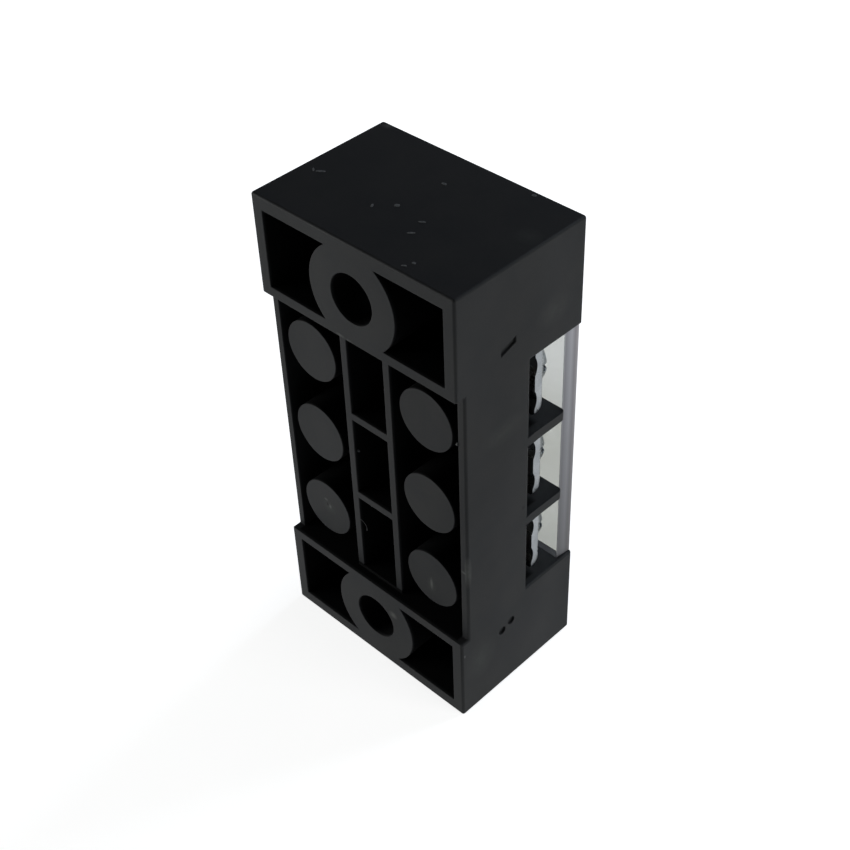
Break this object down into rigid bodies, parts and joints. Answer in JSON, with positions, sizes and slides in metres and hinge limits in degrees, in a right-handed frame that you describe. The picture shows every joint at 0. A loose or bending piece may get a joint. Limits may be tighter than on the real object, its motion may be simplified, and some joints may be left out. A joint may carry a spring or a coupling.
{
  "type": "barrier terminal strip",
  "caption": "Fixed barrier terminal strip: black moulded block with a ribbed hollow underside, screw clamps on busbars between barriers, and a clear clip-on cover.",
  "frame": {"origin": "centre of the end face that the strip stands on", "axes": "+Z along the strip, +X across it, +Y from the mounting face to the clear cover"},
  "size_m": [0.0222, 0.0148, 0.047],
  "materials": {
    "moulded_plastic": "satin black moulded thermoplastic",
    "clear_plastic": "clear moulded polycarbonate",
    "plated_brass": "dull nickel plate",
    "plated_steel": "bright zinc or nickel plate"
  },
  "bodies": {
    "housing": {"housing": "moulded_plastic", "busbar_1": "plated_brass", "busbar_2": "plated_brass", "busbar_3": "plated_brass"},
    "cover": {"cover": "clear_plastic"},
    "clamp_plate_1_left": {"clamp_plate_1_left": "plated_steel"},
    "terminal_screw_1_left": {"terminal_screw_1_left": "plated_steel"},
    "clamp_plate_1_right": {"clamp_plate_1_right": "plated_steel"},
    "terminal_screw_1_right": {"terminal_screw_1_right": "plated_steel"},
    "clamp_plate_2_left": {"clamp_plate_2_left": "plated_steel"},
    "terminal_screw_2_left": {"terminal_screw_2_left": "plated_steel"},
    "clamp_plate_2_right": {"clamp_plate_2_right": "plated_steel"},
    "terminal_screw_2_right": {"terminal_screw_2_right": "plated_steel"},
    "clamp_plate_3_left": {"clamp_plate_3_left": "plated_steel"},
    "terminal_screw_3_left": {"terminal_screw_3_left": "plated_steel"},
    "clamp_plate_3_right": {"clamp_plate_3_right": "plated_steel"},
    "terminal_screw_3_right": {"terminal_screw_3_right": "plated_steel"}
  },
  "joints": [
    {"name": "cover_lift", "type": "slide", "parent": "housing", "child": "cover", "axis": [0, 1, 0], "range_m": [0, 0.01]},
    {"name": "clamp_plate_1_left_slide", "type": "slide", "parent": "housing", "child": "clamp_plate_1_left", "axis": [0, 1, 0], "range_m": [-0.00125, 0]},
    {"name": "terminal_screw_1_left_turn", "type": "hinge", "parent": "clamp_plate_1_left", "child": "terminal_screw_1_left", "pos_m": [-0.00668, 0.00395, 0.01438], "axis": [0, 1, 0], "range_deg": [-900, 0]},
    {"name": "clamp_plate_1_right_slide", "type": "slide", "parent": "housing", "child": "clamp_plate_1_right", "axis": [0, 1, 0], "range_m": [-0.00125, 0]},
    {"name": "terminal_screw_1_right_turn", "type": "hinge", "parent": "clamp_plate_1_right", "child": "terminal_screw_1_right", "pos_m": [0.00668, 0.00395, 0.01438], "axis": [0, 1, 0], "range_deg": [-900, 0]},
    {"name": "clamp_plate_2_left_slide", "type": "slide", "parent": "housing", "child": "clamp_plate_2_left", "axis": [0, 1, 0], "range_m": [-0.00125, 0]},
    {"name": "terminal_screw_2_left_turn", "type": "hinge", "parent": "clamp_plate_2_left", "child": "terminal_screw_2_left", "pos_m": [-0.00668, 0.00395, 0.0235], "axis": [0, 1, 0], "range_deg": [-900, 0]},
    {"name": "clamp_plate_2_right_slide", "type": "slide", "parent": "housing", "child": "clamp_plate_2_right", "axis": [0, 1, 0], "range_m": [-0.00125, 0]},
    {"name": "terminal_screw_2_right_turn", "type": "hinge", "parent": "clamp_plate_2_right", "child": "terminal_screw_2_right", "pos_m": [0.00668, 0.00395, 0.0235], "axis": [0, 1, 0], "range_deg": [-900, 0]},
    {"name": "clamp_plate_3_left_slide", "type": "slide", "parent": "housing", "child": "clamp_plate_3_left", "axis": [0, 1, 0], "range_m": [-0.00125, 0]},
    {"name": "terminal_screw_3_left_turn", "type": "hinge", "parent": "clamp_plate_3_left", "child": "terminal_screw_3_left", "pos_m": [-0.00668, 0.00395, 0.03262], "axis": [0, 1, 0], "range_deg": [-900, 0]},
    {"name": "clamp_plate_3_right_slide", "type": "slide", "parent": "housing", "child": "clamp_plate_3_right", "axis": [0, 1, 0], "range_m": [-0.00125, 0]},
    {"name": "terminal_screw_3_right_turn", "type": "hinge", "parent": "clamp_plate_3_right", "child": "terminal_screw_3_right", "pos_m": [0.00668, 0.00395, 0.03262], "axis": [0, 1, 0], "range_deg": [-900, 0]}
  ],
  "couplings": [
    {"joint": "terminal_screw_1_left_turn", "follows": "clamp_plate_1_left_slide", "rad_per_m": 12566},
    {"joint": "terminal_screw_1_right_turn", "follows": "clamp_plate_1_right_slide", "rad_per_m": 12566},
    {"joint": "terminal_screw_2_left_turn", "follows": "clamp_plate_2_left_slide", "rad_per_m": 12566},
    {"joint": "terminal_screw_2_right_turn", "follows": "clamp_plate_2_right_slide", "rad_per_m": 12566},
    {"joint": "terminal_screw_3_left_turn", "follows": "clamp_plate_3_left_slide", "rad_per_m": 12566},
    {"joint": "terminal_screw_3_right_turn", "follows": "clamp_plate_3_right_slide", "rad_per_m": 12566}
  ]
}
